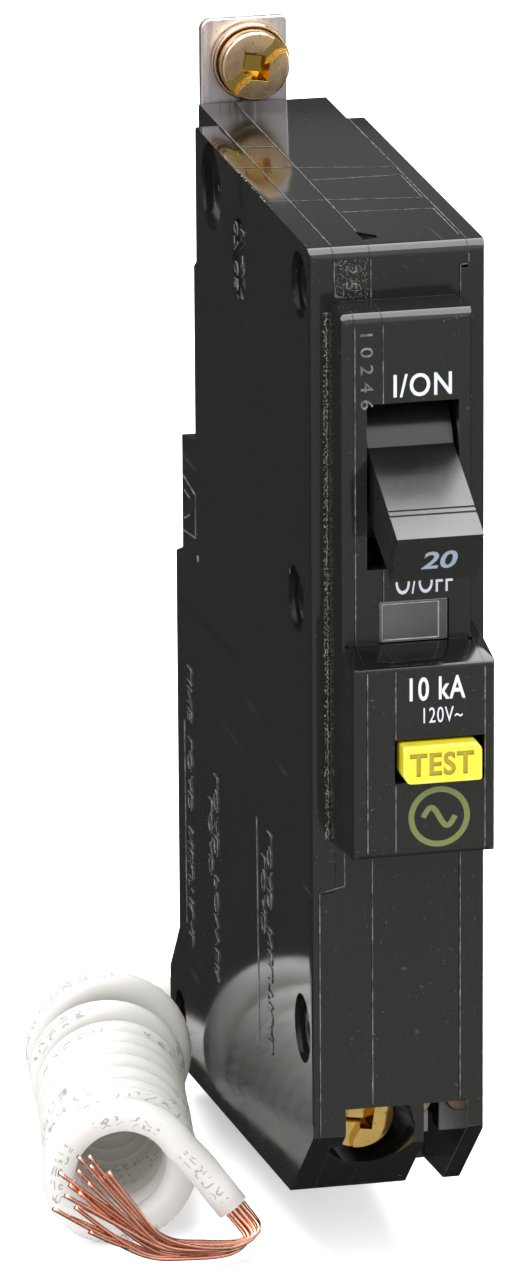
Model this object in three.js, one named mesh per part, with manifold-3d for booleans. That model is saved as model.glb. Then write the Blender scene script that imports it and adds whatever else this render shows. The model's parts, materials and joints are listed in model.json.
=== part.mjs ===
// A single-pole bolt-on circuit breaker with ground-fault protection, a coiled neutral lead and a line tab.
// The case is built in its own frame: x across the width, y = 0 on the front shoulder face (+y goes back),
// z = 0 at the lowest point of the front. The exported group moves it so that the origin is on the
// rear face of the line tab, which is where the breaker is bolted to a bus bar.
import * as THREE from 'three';
import { mergeVertices } from 'three/addons/utils/BufferGeometryUtils.js';
import Module from 'manifold-3d';

const wasm = await Module();
wasm.setup();

// ---- Driving dimensions, millimetres ----------------------------------------------------------------
const GAP = 0.3;                    // clearance between neighbouring pieces
const HALF = 19.05 / 2;             // half the pole pitch
const TOP = 109.5;                  // top of the case
const COVER_BACK = 56.2;            // rear edge of both covers at the line end
const CORE_BACK = 66.4;             // rear edge of the two inner layers at the line end
const WALL = 1.6;                   // case wall
const SKIN = 1.25;                  // cover plate thickness
const CHAMFER = { z: 10.5, y: 11.3, low: 0.45 };   // chamfered front of the load end
const FOOT = { y: 73.6, z: -5.2 };  // rear lower corner of the case
const NOSE_Y = -5.5;                // face of the nose round the handle
const PANEL_Y = -10.9;              // face of the test panel
const NOSE_TOP = 103.7;
const LEDGE_Z = 66.6;               // edge between the nose and the test panel
const PANEL_LOW = 45.4;
const NOSE_LEFT = -7.55;
const NOSE_RIGHT = 6.7;
const PANEL_RIGHT = 7.9;

// Seams between the four layers, as x positions.
const SEAM = { left: -6.95, leftNose: -6.05, leftLow: -8.8, core: -3.0, right: 7.6, rightFront: 6.7 };
const LOW_SEAM_Z = 38.4;            // below this the front of the left cover is a thin skin

const BUTTON = { left: -2.45, right: 6.15, low: 53.95, high: 58.2 };

const PIVOT = { y: 4.5, z: 85.5 };  // handle axis
const DRUM_R = 9.3;
const HANDLE_X = [-4.3, 5.0];
const SLOT = { x: [-4.7, 5.3], z: [75.8, 93.9] };
const WINDOW = { x: [-3.4, 4.2], z: [67.5, 72.2] };

const ARM_PIVOT = { y: 18, z: 76 }; // moving contact arm axis
const ARM_OPEN = 15;                // degrees between open and closed
const CRADLE_PIVOT = { y: 24, z: 66 };
const ARMATURE_PIVOT = { y: 49.4, z: 73.6 };

const TAB = { x: [-6.5, 3.3], y: [66.7, 68.0], top: 118.9 };
const LINE_SCREW = { x: -1.1, z: 114.2, r: 3.9 };
const BORE = { x: -2.6, z: 10.0, r: 5.0 };
const RIVETS = [
  { y: 4.9, z: 104.6, pocket: 3.6, boss: 3.4 }, { y: 48.2, z: 104.6, pocket: 4.9, boss: 3.4 },
  { y: 7.1, z: 69.4, pocket: 3.6, boss: 0 }, { y: 4.9, z: 21.5, pocket: 3.8, boss: 3.4 },
  { y: 67.9, z: 1.3, pocket: 3.0, boss: 4.2 },
];
const RIVET_R = 1.1;

const ORIGIN = { y: TAB.y[1], z: 106 };

// Neutral lead.
const WIRE = 3.8;                   // insulation diameter
const COIL = { front: [-25.8, 23.6, -0.9], back: [-19.5, 63, -0.9], mean: 7.1 };
const GROMMET = { x: -5.9, z: 0.4, r: 2.9, hole: 2.25 };

// ---- Helpers ----------------------------------------------------------------------------------------
const rad = THREE.MathUtils.degToRad;

function toSolid(geometry) {
  const bare = geometry.clone();
  for (const name of Object.keys(bare.attributes)) if (name !== 'position') bare.deleteAttribute(name);
  const merged = mergeVertices(bare, 1e-4);
  const index = merged.index.array;
  const tris = [];
  for (let i = 0; i < index.length; i += 3) {
    const [a, b, c] = [index[i], index[i + 1], index[i + 2]];
    if (a !== b && b !== c && c !== a) tris.push(a, b, c);
  }
  return new wasm.Manifold(new wasm.Mesh({
    numProp: 3,
    vertProperties: new Float32Array(merged.attributes.position.array),
    triVerts: new Uint32Array(tris),
  }));
}

function toGeometry(solid) {
  const mesh = solid.getMesh();
  const geometry = new THREE.BufferGeometry();
  geometry.setAttribute('position', new THREE.BufferAttribute(new Float32Array(mesh.vertProperties), 3));
  geometry.setIndex(new THREE.BufferAttribute(new Uint32Array(mesh.triVerts), 1));
  geometry.computeVertexNormals();
  return geometry;
}

const add = (...solids) => solids.reduce((a, b) => a.add(b));
const cut = (body, ...tools) => tools.reduce((a, b) => a.subtract(b), body);

function box(x, y, z) {
  const g = new THREE.BoxGeometry(x[1] - x[0], y[1] - y[0], z[1] - z[0]);
  g.translate((x[0] + x[1]) / 2, (y[0] + y[1]) / 2, (z[0] + z[1]) / 2);
  return toSolid(g);
}

// A closed outline of [y, z] points, extruded from x[0] to x[1].
function sideExtrude(points, x) {
  const shape = new THREE.Shape(points.map(([y, z]) => new THREE.Vector2(y, z)));
  const g = new THREE.ExtrudeGeometry(shape, { depth: x[1] - x[0], bevelEnabled: false });
  g.applyMatrix4(new THREE.Matrix4().set(0, 0, 1, x[0], 1, 0, 0, 0, 0, 1, 0, 0, 0, 0, 0, 1));
  return toSolid(g);
}

// A cylinder along 'x', 'y' or 'z' from low to high, centred on the other two coordinates.
function rod(axis, centre, r, low, high, sides = 24) {
  const g = new THREE.CylinderGeometry(r, r, high - low, sides);
  const mid = (low + high) / 2;
  if (axis === 'x') g.rotateZ(-Math.PI / 2).translate(mid, centre[0], centre[1]);
  if (axis === 'y') g.translate(centre[0], mid, centre[1]);
  if (axis === 'z') g.rotateX(Math.PI / 2).translate(centre[0], centre[1], mid);
  return toSolid(g);
}

// A round wire of diameter d through the given points.
function wire(points, d, steps, sides = 8) {
  const circle = new THREE.Shape();
  circle.absarc(0, 0, d / 2, 0, 2 * Math.PI);
  const path = new THREE.CatmullRomCurve3(points.map((p) => new THREE.Vector3(...p)), false, 'centripetal');
  return toSolid(new THREE.ExtrudeGeometry(circle, {
    steps, curveSegments: sides, bevelEnabled: false, extrudePath: path,
  }));
}

const group = new THREE.Group();
group.name = 'breaker';
const caseFrame = new THREE.Group();
caseFrame.position.set(0, -ORIGIN.y, -ORIGIN.z);
group.add(caseFrame);

const LOOKS = {
  case: [0x1b1b1a, 0.35, 0], yellow: [0xf4d51c, 0.4, 0], lens: [0x6e6e70, 0.2, 0], flag: [0xc8402a, 0.5, 0],
  steel: [0xb9bcc0, 0.35, 1], tin: [0xcfcbc8, 0.4, 1], brass: [0xb98a3a, 0.3, 1], copper: [0xb8683c, 0.35, 1],
  silver: [0xd8d8d4, 0.3, 1], board: [0x2f5d3a, 0.6, 0], fibre: [0xd9cfb8, 0.8, 0], ferrite: [0x3c3c40, 0.7, 0],
  part: [0x2b4a8a, 0.5, 0], white: [0xe8e8e6, 0.45, 0],
};

function place(name, solid, look, parent = caseFrame) {
  const [color, roughness, metalness] = LOOKS[look];
  const mesh = new THREE.Mesh(toGeometry(solid), new THREE.MeshStandardMaterial({ color, roughness, metalness }));
  mesh.name = name;
  parent.add(mesh);
  return mesh;
}

// ---- Case layers ------------------------------------------------------------------------------------
const floorZ = (y) => CHAMFER.low + (FOOT.z - CHAMFER.low) * (y - CHAMFER.y) / (FOOT.y - CHAMFER.y);

function outline(back) {
  const rear = back === CORE_BACK ? [[CORE_BACK, 58.6]] : [[64.6, 58.6], [64.6, 71.8], [57.5, 73], [57.5, 93.2],
    [COVER_BACK, 94]];
  return [[0, CHAMFER.z], [CHAMFER.y, CHAMFER.low], [FOOT.y, FOOT.z], [FOOT.y, 5.5], [68.2, 12], [68.2, 57.2],
    ...rear, [back, TOP], [1.0, TOP], [0.3, TOP - 0.3], [0, TOP - 1.0]].reverse();
}

const nosePoints = [[1.2, 44.1], [PANEL_Y, PANEL_LOW], [PANEL_Y, LEDGE_Z], [NOSE_Y, LEDGE_Z + 1], [NOSE_Y, NOSE_TOP - 0.5],
  [NOSE_Y + 0.5, NOSE_TOP], [1.2, NOSE_TOP + 0.1]].reverse();
const noseHollow = [[2, 45.8], [PANEL_Y + 1.3, 46.8], [PANEL_Y + 1.3, LEDGE_Z - 1.4], [NOSE_Y + 1.3, LEDGE_Z - 0.4],
  [NOSE_Y + 1.3, NOSE_TOP - 1.4], [2, NOSE_TOP - 1.4]].reverse();

const mechanismRoom = [[WALL, 50], [CORE_BACK - WALL, 50], [CORE_BACK - WALL, TOP - WALL], [WALL, TOP - WALL]];
const moduleRoom = mechanismRoom.map(([y, z]) => [Math.min(y, COVER_BACK - WALL), z]);  // closed behind the cover
const BEHIND_COVER = 6.5;           // x where the wall starts that closes the room behind the right cover
const lowerRoom = [[WALL, 17.5], [22, 17.5], [22, floorZ(22) + WALL], [FOOT.y - WALL, floorZ(FOOT.y) + 2.2],
  [FOOT.y - WALL, 5], [66.6, 11.6], [66.6, 48.4], [WALL, 48.4]];

const rivetShafts = (r, x) => RIVETS.map((p) => rod('x', [p.y, p.z], r, x[0], x[1], 20));

// Cuts that the outside world reaches through: handle slot, lens window, load terminals.
const slotCut = () => box(SLOT.x, [-8, WALL + 0.4], SLOT.z);
const windowCut = () => box(WINDOW.x, [-8, NOSE_Y + 2], WINDOW.z);
const mouthCut = () => box([-5.9, 7.1], [-1, 2.6], [6, 13.5]);
const boreCut = () => rod('y', [BORE.x, BORE.z], BORE.r, 2.3, 12.5, 32);
const lugCut = () => box([-7.0, 1.9], [12.2, 19.2], [5.2, 15.0]);
const channelCut = () => box([3.4, 9], [-1, 20], [-6, 13.5]);           // open to the right cover
const strapCut = () => box([-1.9, 1.9], [18.5, 23], [8.8, 12.2]);
const drumCut = (x) => rod('x', [PIVOT.y, PIVOT.z], DRUM_R + 1.0, x[0], x[1], 40);

function leftCover() {
  const outer = SEAM.left - GAP / 2;
  const inner = -HALF + SKIN;
  let body = sideExtrude(outline(COVER_BACK), [-HALF, outer]);
  const hollow = sideExtrude([[WALL, 13], [12.5, 3.2], [FOOT.y - WALL, floorZ(FOOT.y) + 2.2], [FOOT.y - WALL, 5],
    [66.6, 11.6], [66.6, 56.4], [63, 57.5], [63, 70.6], [55.9, 71.6], [55.9, 92], [54.6, 92.6], [54.6, TOP - WALL],
    [WALL, TOP - WALL]].reverse(), [inner, 0]);
  body = cut(body, hollow);
  body = add(body, sideExtrude(nosePoints, [NOSE_LEFT, SEAM.leftNose - GAP / 2]));
  for (const p of RIVETS) {
    body = add(body, rod('x', [p.y, p.z], p.pocket + 1.0, -HALF + 0.2, outer, 32)
      .intersect(sideExtrude(outline(COVER_BACK), [-HALF, outer])));
    body = cut(body, rod('x', [p.y, p.z], p.pocket, -HALF - 1, -HALF + 1.3, 32));
  }
  body = cut(body, box([SEAM.leftLow - GAP / 2, 0], [-1, WALL + GAP], [-2, LOW_SEAM_Z]));
  return cut(body, ...rivetShafts(RIVET_R + GAP, [-12, 0]));
}

function moduleCase() {
  const x = [SEAM.left + GAP / 2, SEAM.core - GAP / 2];
  const base = x[1] - 1.1;
  let body = sideExtrude(outline(CORE_BACK), x);
  body = cut(body, sideExtrude(moduleRoom, [-9, base]), sideExtrude(lowerRoom.slice().reverse(), [-9, base]));
  body = add(body, sideExtrude(nosePoints, [SEAM.leftNose + GAP / 2, x[1]]));
  body = cut(body, sideExtrude(noseHollow, [-9, 0]), drumCut([SLOT.x[0], 0]));
  const lip = sideExtrude(outline(CORE_BACK), [SEAM.leftLow + GAP / 2, x[0] + 0.1])
    .intersect(box([-9, 0], [-1, WALL], [0, LOW_SEAM_Z - GAP]));
  body = add(body, lip);
  for (const p of RIVETS) {
    body = add(body, rod('x', [p.y, p.z], 2.6, x[0], x[1], 24).intersect(sideExtrude(outline(CORE_BACK), x)));
  }
  body = cut(body, box([-9, SEAM.leftNose + GAP / 2], [-1, 1.2 + GAP], [LOW_SEAM_Z + 0.6, NOSE_TOP + GAP]));
  body = cut(body, slotCut(), windowCut(), mouthCut(), boreCut(), lugCut(), strapCut());
  body = cut(body, box([-5.2, 0], [54.5, 57.5], [47, 51]));
  return cut(body, ...rivetShafts(RIVET_R + GAP, [-12, 0]));
}

function mechanismCase() {
  const x = [SEAM.core + GAP / 2, SEAM.right - GAP / 2];
  let body = sideExtrude(outline(CORE_BACK), x);
  body = cut(body, sideExtrude(mechanismRoom, [-9, 9]), sideExtrude(lowerRoom.slice().reverse(), [-9, 9]));
  body = add(body, box([BEHIND_COVER, x[1]], [COVER_BACK - WALL, CORE_BACK - WALL + 0.1], [49.9, TOP - WALL + 0.1]));
  body = add(body, sideExtrude(nosePoints, [x[0], NOSE_RIGHT]));
  body = cut(body, sideExtrude(noseHollow, [-9, 5.5]));
  for (const p of RIVETS.filter((rivet) => rivet.boss > 0)) {
    body = add(body, rod('x', [p.y, p.z], p.boss, x[0], x[1], 24).intersect(sideExtrude(outline(CORE_BACK), x)));
  }
  const low = SEAM.rightFront - GAP / 2;
  body = cut(body, box([low, 9], [-0.1, WALL + GAP], [-2, 106.9]));
  body = cut(body, slotCut(), windowCut(), mouthCut(), boreCut(), lugCut(), strapCut(), channelCut());
  body = cut(body, box([-9, 9], [PANEL_Y - 2, PANEL_Y + 4], [BUTTON.low - GAP, BUTTON.high + GAP]));
  body = cut(body, box([-2.6, 3.7], [60, 70], [93.0, 95.3]));                 // line strap
  body = cut(body, box([-2.1, 2.1], [43.9, 47.3], [47, 51]));                 // load strap
  body = cut(body, rod('z', [2.3, 56], 1.8, 47, 51, 20));                     // plunger
  return cut(body, ...rivetShafts(RIVET_R + GAP, [-12, 12]));
}

function rightCover() {
  const x = [SEAM.right + GAP / 2, HALF];
  let body = sideExtrude(outline(COVER_BACK), x);
  const front = SEAM.rightFront + GAP / 2;
  body = add(body, box([front, x[0] + 0.5], [0, WALL], [CHAMFER.z + 3.2, 106.6]));
  body = add(body, sideExtrude([[1.2, 44.1], [PANEL_Y, PANEL_LOW], [PANEL_Y, LEDGE_Z], [NOSE_Y, LEDGE_Z + 1],
    [1.2, LEDGE_Z + 1.6]].reverse(), [front, PANEL_RIGHT]));
  body = cut(body, rod('x', [PIVOT.y, PIVOT.z], 1.5, 0, HALF - 1.0, 20));
  return cut(body, ...rivetShafts(RIVET_R + GAP, [0, 12]), ...RIVETS.map((p) => rod('x', [p.y, p.z], 2.4,
    HALF - 0.8, HALF + 1, 24)));
}

place('left_cover', leftCover(), 'case');
place('module_case', moduleCase(), 'case');
place('mechanism_case', mechanismCase(), 'case');
place('right_cover', rightCover(), 'case');

RIVETS.forEach((p, i) => {
  const shank = rod('x', [p.y, p.z], RIVET_R, -HALF + 1.4, HALF - 0.3, 16);
  const head = rod('x', [p.y, p.z], Math.min(p.pocket - 0.8, 2.8), -HALF + 0.7, -HALF + 1.25, 20);
  const neck = rod('x', [p.y, p.z], RIVET_R, -HALF + 1.0, 0, 16);
  const tail = rod('x', [p.y, p.z], 2.0, HALF - 0.7, HALF - 0.25, 20);
  const hole = rod('x', [p.y, p.z], 0.55, -HALF - 1, -HALF + 4, 12);
  place(`case_rivet_${i + 1}`, cut(add(shank, head, neck, tail), hole), 'brass');
});

place('indicator_lens', box([WINDOW.x[0] + GAP, WINDOW.x[1] - GAP], [NOSE_Y + 0.35, NOSE_Y + 1.1],
  [WINDOW.z[0] + GAP, WINDOW.z[1] - GAP]), 'lens');
place('mounting_clip', sideExtrude([[68.5, 40], [69.3, 40], [69.3, 14.2], [75, 11], [76.5, 13.5], [77.2, 13.1],
  [75.3, 9.9], [68.5, 13.4]].reverse(), [-1, 5]), 'steel');

// ---- Line terminal ----------------------------------------------------------------------------------
function lineTab() {
  const plate = box(TAB.x, TAB.y, [93.4, TAB.top]);
  const inner = box([-2.3, 3.3], [47, TAB.y[1]], [93.4, 94.9]);
  return cut(add(plate, inner), rod('y', [LINE_SCREW.x, LINE_SCREW.z], 2.3, 60, 70, 24));
}

function screw(x, z, r, faceY, thick, shankR, tipY) {
  const head = rod('y', [x, z], r, faceY, faceY + thick, 32);
  const shank = rod('y', [x, z], shankR, faceY + thick - 0.1, tipY, 16);
  const square = new THREE.BoxGeometry(2.9, 1.3, 2.9).rotateY(rad(8)).translate(x, faceY + 0.5, z);
  const slot = new THREE.BoxGeometry(2.2 * r, 1.1, 1.3).rotateY(rad(-38)).translate(x, faceY + 0.4, z);
  return cut(add(head, shank), toSolid(square), toSolid(slot));
}

place('line_terminal_strap', lineTab(), 'tin');
place('line_screw', screw(LINE_SCREW.x, LINE_SCREW.z, LINE_SCREW.r, 62.7, 1.9, 1.9, 74), 'brass');
place('line_screw_washer', cut(rod('y', [LINE_SCREW.x, LINE_SCREW.z], 4.4, 64.95, 66.35, 32),
  rod('y', [LINE_SCREW.x, LINE_SCREW.z], 2.25, 60, 70, 24)), 'brass');
place('fixed_contact', box([0.8, 3.2], [49.5, 54.5], [91.9, 93.1]), 'silver');

// ---- Handle -----------------------------------------------------------------------------------------
function handle() {
  const drum = rod('x', [PIVOT.y, PIVOT.z], DRUM_R, HANDLE_X[0], HANDLE_X[1], 48);
  const lever = sideExtrude([[-4.2, 88.8], [-11, 85.65], [-17.5, 82.55], [-14.8, 77.15], [-3.4, 82.0], [0, 84],
    [0, 88]].reverse(), HANDLE_X);
  return cut(add(drum, lever), rod('x', [PIVOT.y, PIVOT.z], 1.5, -9, 9, 20));
}

place('handle', handle(), 'case');
place('handle_pivot_pin', rod('x', [PIVOT.y, PIVOT.z], 1.2, -HALF + SKIN + 0.4, HALF - 1.4, 16), 'steel');

// ---- Contact arm: drawn closed, then swung open about its pivot -------------------------------------------
const armFrame = new THREE.Group();
armFrame.position.set(0, ARM_PIVOT.y, ARM_PIVOT.z);
armFrame.rotation.x = rad(-ARM_OPEN);
caseFrame.add(armFrame);
const fromPivot = ([y, z]) => [y - ARM_PIVOT.y, z - ARM_PIVOT.z];

function contactArm() {
  const bar = sideExtrude([[18, 74.2], [20, 74.4], [46.5, 87.8], [55, 87.8], [55, 90], [45.5, 90], [17.5, 78.2]]
    .map(fromPivot), [1.0, 3.6]);
  return cut(add(bar, rod('x', [0, 0], 2.6, 1.0, 3.6, 24)), rod('x', [0, 0], 1.3, -9, 9, 16),
    rod('x', fromPivot([32, 81.6]), 0.95, -9, 9, 16));
}

place('contact_arm', contactArm(), 'copper', armFrame);
place('moving_contact', box([1.1, 3.5], [31.7, 36.7], [14.3, 15.4]), 'silver', armFrame);
place('spring_pin', rod('x', fromPivot([32, 81.6]), 0.65, 1.2, 6.9, 12), 'steel', armFrame);
place('arm_pivot_post', rod('x', [ARM_PIVOT.y, ARM_PIVOT.z], 1.0, -2.6, 7.4, 16), 'steel');

// ---- Arc chute --------------------------------------------------------------------------------------
for (let i = 0; i < 4; i += 1) {
  const z = 80.5 + 3 * i;
  const notch = sideExtrude([[58, 0], [62, 0], [62, 1], [58, 1]], [1, 3.6]);
  const plate = cut(box([-1.6, 5.4], [58.4, 64.3], [z, z + 0.8]), notch.translate(0, 0, z));
  place(`arc_plate_${i + 1}`, plate, 'steel');
}
place('arc_side_board_1', box([-2.6, -1.9], [58.2, 64.4], [79.5, 91.2]), 'fibre');
place('arc_side_board_2', box([5.7, 6.2], [58.2, 64.4], [79.5, 91.2]), 'fibre');

// ---- Trip mechanism ---------------------------------------------------------------------------------
place('trip_cradle', cut(add(sideExtrude([[23, 64.6], [47.6, 61.6], [47.6, 63.6], [36, 66.9], [23, 68]],
  [4.4, 6.4]), rod('x', [CRADLE_PIVOT.y, CRADLE_PIVOT.z], 2.4, 4.4, 6.4, 24)),
rod('x', [CRADLE_PIVOT.y, CRADLE_PIVOT.z], 1.2, 0, 9, 16)), 'steel');
place('cradle_post', rod('x', [CRADLE_PIVOT.y, CRADLE_PIVOT.z], 0.9, -2.6, 7.4, 16), 'steel');
place('armature', cut(add(box([-1.8, 6.4], [48.9, 49.9], [57.5, 72.2]),
  rod('x', [ARMATURE_PIVOT.y, ARMATURE_PIVOT.z], 1.6, -1.8, 6.4, 20)),
rod('x', [ARMATURE_PIVOT.y, ARMATURE_PIVOT.z], 0.95, -9, 9, 16), box([3.9, 6.9], [48, 51], [61.0, 65.0])), 'steel');
place('armature_pin', rod('x', [ARMATURE_PIVOT.y, ARMATURE_PIVOT.z], 0.6, -2.6, 7.4, 12), 'steel');
place('bimetal', box([-1.4, 1.4], [44.1, 44.9], [52.5, 71.5]), 'copper');
place('magnet_yoke', cut(box([-2.4, 2.4], [41.4, 46.8], [61.5, 68.5]), box([-1.8, 1.8], [42.3, 47], [61, 69])),
  'steel');
place('calibration_screw', add(rod('y', [0, 56], 1.2, 37.5, 43.8, 16), rod('y', [0, 56], 2.2, 36, 37.6, 20)),
  'brass');

function operatingSpring() {
  const a = new THREE.Vector3(5.4, 36.5, 68.6);
  const b = new THREE.Vector3(5.4, 34.0, 76.2);
  const g = new THREE.CylinderGeometry(1.3, 1.3, a.distanceTo(b), 16);
  const turn = new THREE.Quaternion().setFromUnitVectors(new THREE.Vector3(0, 1, 0),
    b.clone().sub(a).normalize());
  g.applyQuaternion(turn).translate(...a.add(b).multiplyScalar(0.5).toArray());
  return toSolid(g);
}
place('operating_spring', operatingSpring(), 'steel');
place('flexible_braid', wire([[0, 43.0, 71.5], [0, 41.5, 74.2], [0.2, 36, 76.5], [0.2, 31, 78.2]], 1.4, 12, 8),
  'copper');
place('trip_flag', box([-2.6, 3.4], [-3.9, -3.2], [60.5, 66.4]), 'flag');

// ---- Load side --------------------------------------------------------------------------------------
place('load_strap', sideExtrude([[45.3, 60], [45.3, 43.2], [23.5, 43.2], [23.5, 11.4], [19.6, 11.4], [19.6, 10.2],
  [24.7, 10.2], [24.7, 42], [46.5, 42], [46.5, 60]].reverse(), [-1.6, 1.6]), 'copper');
place('load_power_lug', cut(box([-6.6, 1.5], [14.2, 16.6], [5.6, 14.6]),
  rod('y', [BORE.x, BORE.z], 2.2, 10, 20, 20)), 'tin');
place('load_power_screw', screw(BORE.x, BORE.z, 4.0, 7.4, 2.0, 1.9, 18.8), 'brass');
place('load_return_lug', cut(box([3.7, 7.0], [15.6, 18.6], [4.4, 13.2]),
  rod('y', [5.35, 9], 1.3, 10, 20, 16)), 'tin');
place('load_return_screw', add(rod('y', [5.35, 9], 1.55, 13.0, 15.2, 20), rod('y', [5.35, 9], 1.0, 15, 19.4, 12)),
  'brass');

// ---- Ground-fault electronics ------------------------------------------------------------------------------
place('transformer_core', cut(rod('x', [37, 27], 10.2, -0.7, 4.9, 40), rod('x', [37, 27], 5.4, -9, 9, 32)), 'part');
place('primary_conductor', wire([[6.4, 26.5, 27], [6.4, 34, 27], [5.6, 36.6, 27], [2, 37, 27], [-1.6, 37.4, 27],
  [-2.1, 40, 27], [-2.1, 47, 27]], 1.1, 24, 8), 'copper');
place('circuit_board', box([-5.9, -4.7], [26, 62], [4.5, 44]), 'board');
place('surge_varistor', rod('x', [56, 36], 4.2, -8.0, -6.2, 24), 'part');
place('capacitor', box([-8.0, -6.2], [28.5, 37.5], [8, 17]), 'part');
place('control_chip', box([-7.6, -6.2], [44, 51], [18, 27]), 'ferrite');
place('solenoid_frame', cut(box([-1.8, 6.4], [51.5, 60.5], [18.5, 33.5]), box([-9, 9], [50, 59.6], [19.5, 32.5]),
  rod('z', [2.3, 56], 1.7, 30, 36, 20)), 'steel');
place('solenoid_coil', cut(rod('z', [2.3, 56], 3.3, 20, 32, 28), rod('z', [2.3, 56], 1.7, 21.5, 40, 20)), 'copper');
place('solenoid_plunger', add(rod('z', [2.3, 56], 1.35, 24.5, 50.6, 16), rod('z', [2.3, 56], 2.6, 35.8, 37, 20)),
  'steel');

// ---- TEST button ----------------------------------------------------------------------------------------
function testButton() {
  const { left, right, low, high } = BUTTON;
  const cap = new THREE.Shape([[left, high], [left, low + 0.9], [left + 0.6, low], [right, low], [right, high - 0.7],
    [right - 0.6, high]].reverse().map(([x, z]) => new THREE.Vector2(x, z)));
  const g = new THREE.ExtrudeGeometry(cap, { depth: 3.4, bevelEnabled: false });
  g.rotateX(Math.PI / 2).translate(0, PANEL_Y + 1.8, 0);
  const stem = box([0.4, 3.4], [PANEL_Y + 1, -3.4], [55, 57.2]);
  return add(toSolid(g), stem);
}
place('test_button', testButton(), 'yellow');
place('test_button_spring', rod('y', [4.6, 56.1], 0.9, PANEL_Y + 2.1, -2.6, 16), 'steel');
place('test_contact_blade', box([-1.5, 4.5], [-1.6, -1.1], [47.5, 60]), 'copper');

// ---- Neutral lead: grommet, stretch to the coil, coil, opened last turn, bare strands ---------------------
const grommetRod = (r, low, high) => rod('y', [GROMMET.x, GROMMET.z], r, FOOT.y + low, FOOT.y + high);
place('pigtail_grommet', cut(grommetRod(GROMMET.r, GAP, 4), grommetRod(GROMMET.hole, -3, 6)), 'case');

// The outer shape of the wound turns: a ring swept along the slanted axis of the coil.
function coilRing() {
  const [front, back] = [COIL.front, COIL.back].map((p) => new THREE.Vector3(...p));
  const length = front.distanceTo(back);
  const [inner, outer] = [COIL.mean - WIRE / 2, COIL.mean + WIRE / 2];
  const profile = [[inner, 0], [outer, 0], [outer, length], [inner, length], [inner, 0]];
  const g = new THREE.LatheGeometry(profile.map(([r, h]) => new THREE.Vector2(r, h)), 32);
  const along = back.clone().sub(front).normalize();
  g.applyQuaternion(new THREE.Quaternion().setFromUnitVectors(new THREE.Vector3(0, 1, 0), along));
  return toSolid(g.translate(...front.toArray()));
}

place('pigtail_lead', wire([[GROMMET.x, FOOT.y + 0.6, GROMMET.z], [GROMMET.x, 79.0, GROMMET.z],
  [-7.4, 83.6, -1.7], [-10.6, 86.2, -5.2], [-14.6, 84.6, -7.6], [-16.2, 79.0, -7.95], [-16.8, 73.0, -7.95], [-18.6, 68.2, -7.95], [-21.4, 65.6, -7.7]],
WIRE, 22), 'white');
place('pigtail_coil', coilRing(), 'white');
place('pigtail_tail', wire([[-24.6, 20.7, 6.1], [-21.2, 20.3, 5.0], [-17.6, 19.8, 0.8], [-14.2, 19.5, -4.1]],
  WIRE, 8), 'white');
place('copper_strands', wire([[-13.8, 19.4, -4.75], [-12.4, 18.0, -6.6], [-14.2, 16.6, -7.9], [-18.6, 15.6, -8.1],
  [-24, 15, -7.4], [-29, 14.6, -5.0], [-35.4, 14.5, 1.5]], 3.2, 18), 'copper');

export default group;
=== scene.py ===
"""Looks for a single-pole bolt-on breaker with ground-fault protection and a coiled neutral lead.

The case is drawn in its own frame, in millimetres: x across the width, y = 0 on the front shoulder (+y
goes back), z = 0 at the lowest point of the front. settle() moves each finished piece into the CAD frame,
in metres.
"""
import json
import math
import random

import bmesh
import bpy
from mathutils import Matrix, Vector


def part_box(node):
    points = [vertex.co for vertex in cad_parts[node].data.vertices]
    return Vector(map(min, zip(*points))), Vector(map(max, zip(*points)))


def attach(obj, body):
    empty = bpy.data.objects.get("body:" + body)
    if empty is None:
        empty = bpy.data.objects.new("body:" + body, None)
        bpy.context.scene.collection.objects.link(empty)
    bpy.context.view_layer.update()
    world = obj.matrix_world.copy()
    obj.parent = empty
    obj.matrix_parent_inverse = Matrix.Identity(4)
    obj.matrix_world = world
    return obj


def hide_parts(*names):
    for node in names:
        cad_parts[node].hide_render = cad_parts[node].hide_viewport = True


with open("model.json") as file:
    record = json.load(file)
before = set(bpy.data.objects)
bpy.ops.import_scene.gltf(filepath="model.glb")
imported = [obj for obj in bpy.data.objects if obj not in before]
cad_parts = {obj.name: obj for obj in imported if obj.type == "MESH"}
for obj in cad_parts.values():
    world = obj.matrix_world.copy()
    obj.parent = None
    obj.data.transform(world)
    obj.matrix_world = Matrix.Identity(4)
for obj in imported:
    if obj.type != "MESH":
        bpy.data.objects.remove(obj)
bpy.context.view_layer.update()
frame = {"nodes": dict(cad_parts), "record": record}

scene = bpy.context.scene
random.seed(7)

# ---- Driving dimensions, millimetres in the case frame -----------------------
MM = 0.001
TOP = 109.5                     # top of the case
FOOT = (73.6, -5.2)             # rear lower corner of the case, (y, z)
HALF = 19.05 / 2                # half the pole pitch
_, case_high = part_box("mechanism_case")
CASE_ZERO = Vector((0, case_high.y - FOOT[0] * MM, case_high.z - TOP * MM))
TO_FRAME = Matrix.Translation(CASE_ZERO) @ Matrix.Scale(MM, 4)

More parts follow.
